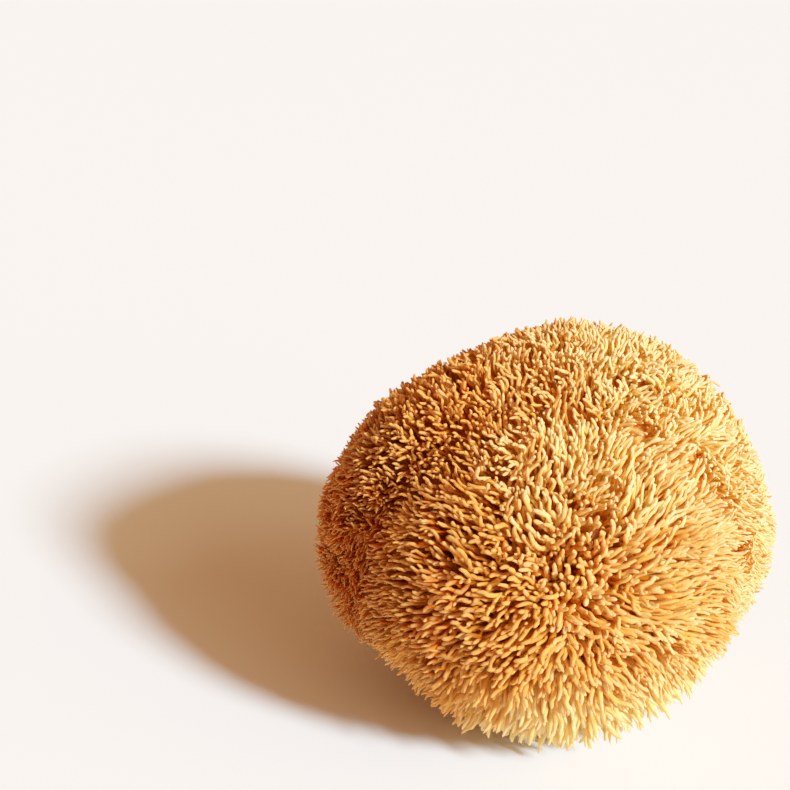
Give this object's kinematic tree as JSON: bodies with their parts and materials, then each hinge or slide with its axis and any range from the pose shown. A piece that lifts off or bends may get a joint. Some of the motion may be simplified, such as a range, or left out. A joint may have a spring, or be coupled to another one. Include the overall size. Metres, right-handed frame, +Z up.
{
  "type": "lion's mane mushroom",
  "caption": "Dried lion's mane mushroom: a round, slightly lopsided head covered in soft spines that part from a crown, on a short neck cut off flat.",
  "frame": {"origin": "on the resting surface, under the middle of the head's bounding box", "axes": "+Z up from the surface it rests on, -Y towards the side that the crown faces, +X to the right when looking at the crown, along the widest way across"},
  "size_m": [0.0848, 0.0762, 0.0732],
  "materials": {
    "dried_flesh": "matte"
  },
  "bodies": {
    "root": {"fruiting_body": "dried_flesh"}
  },
  "joints": []
}
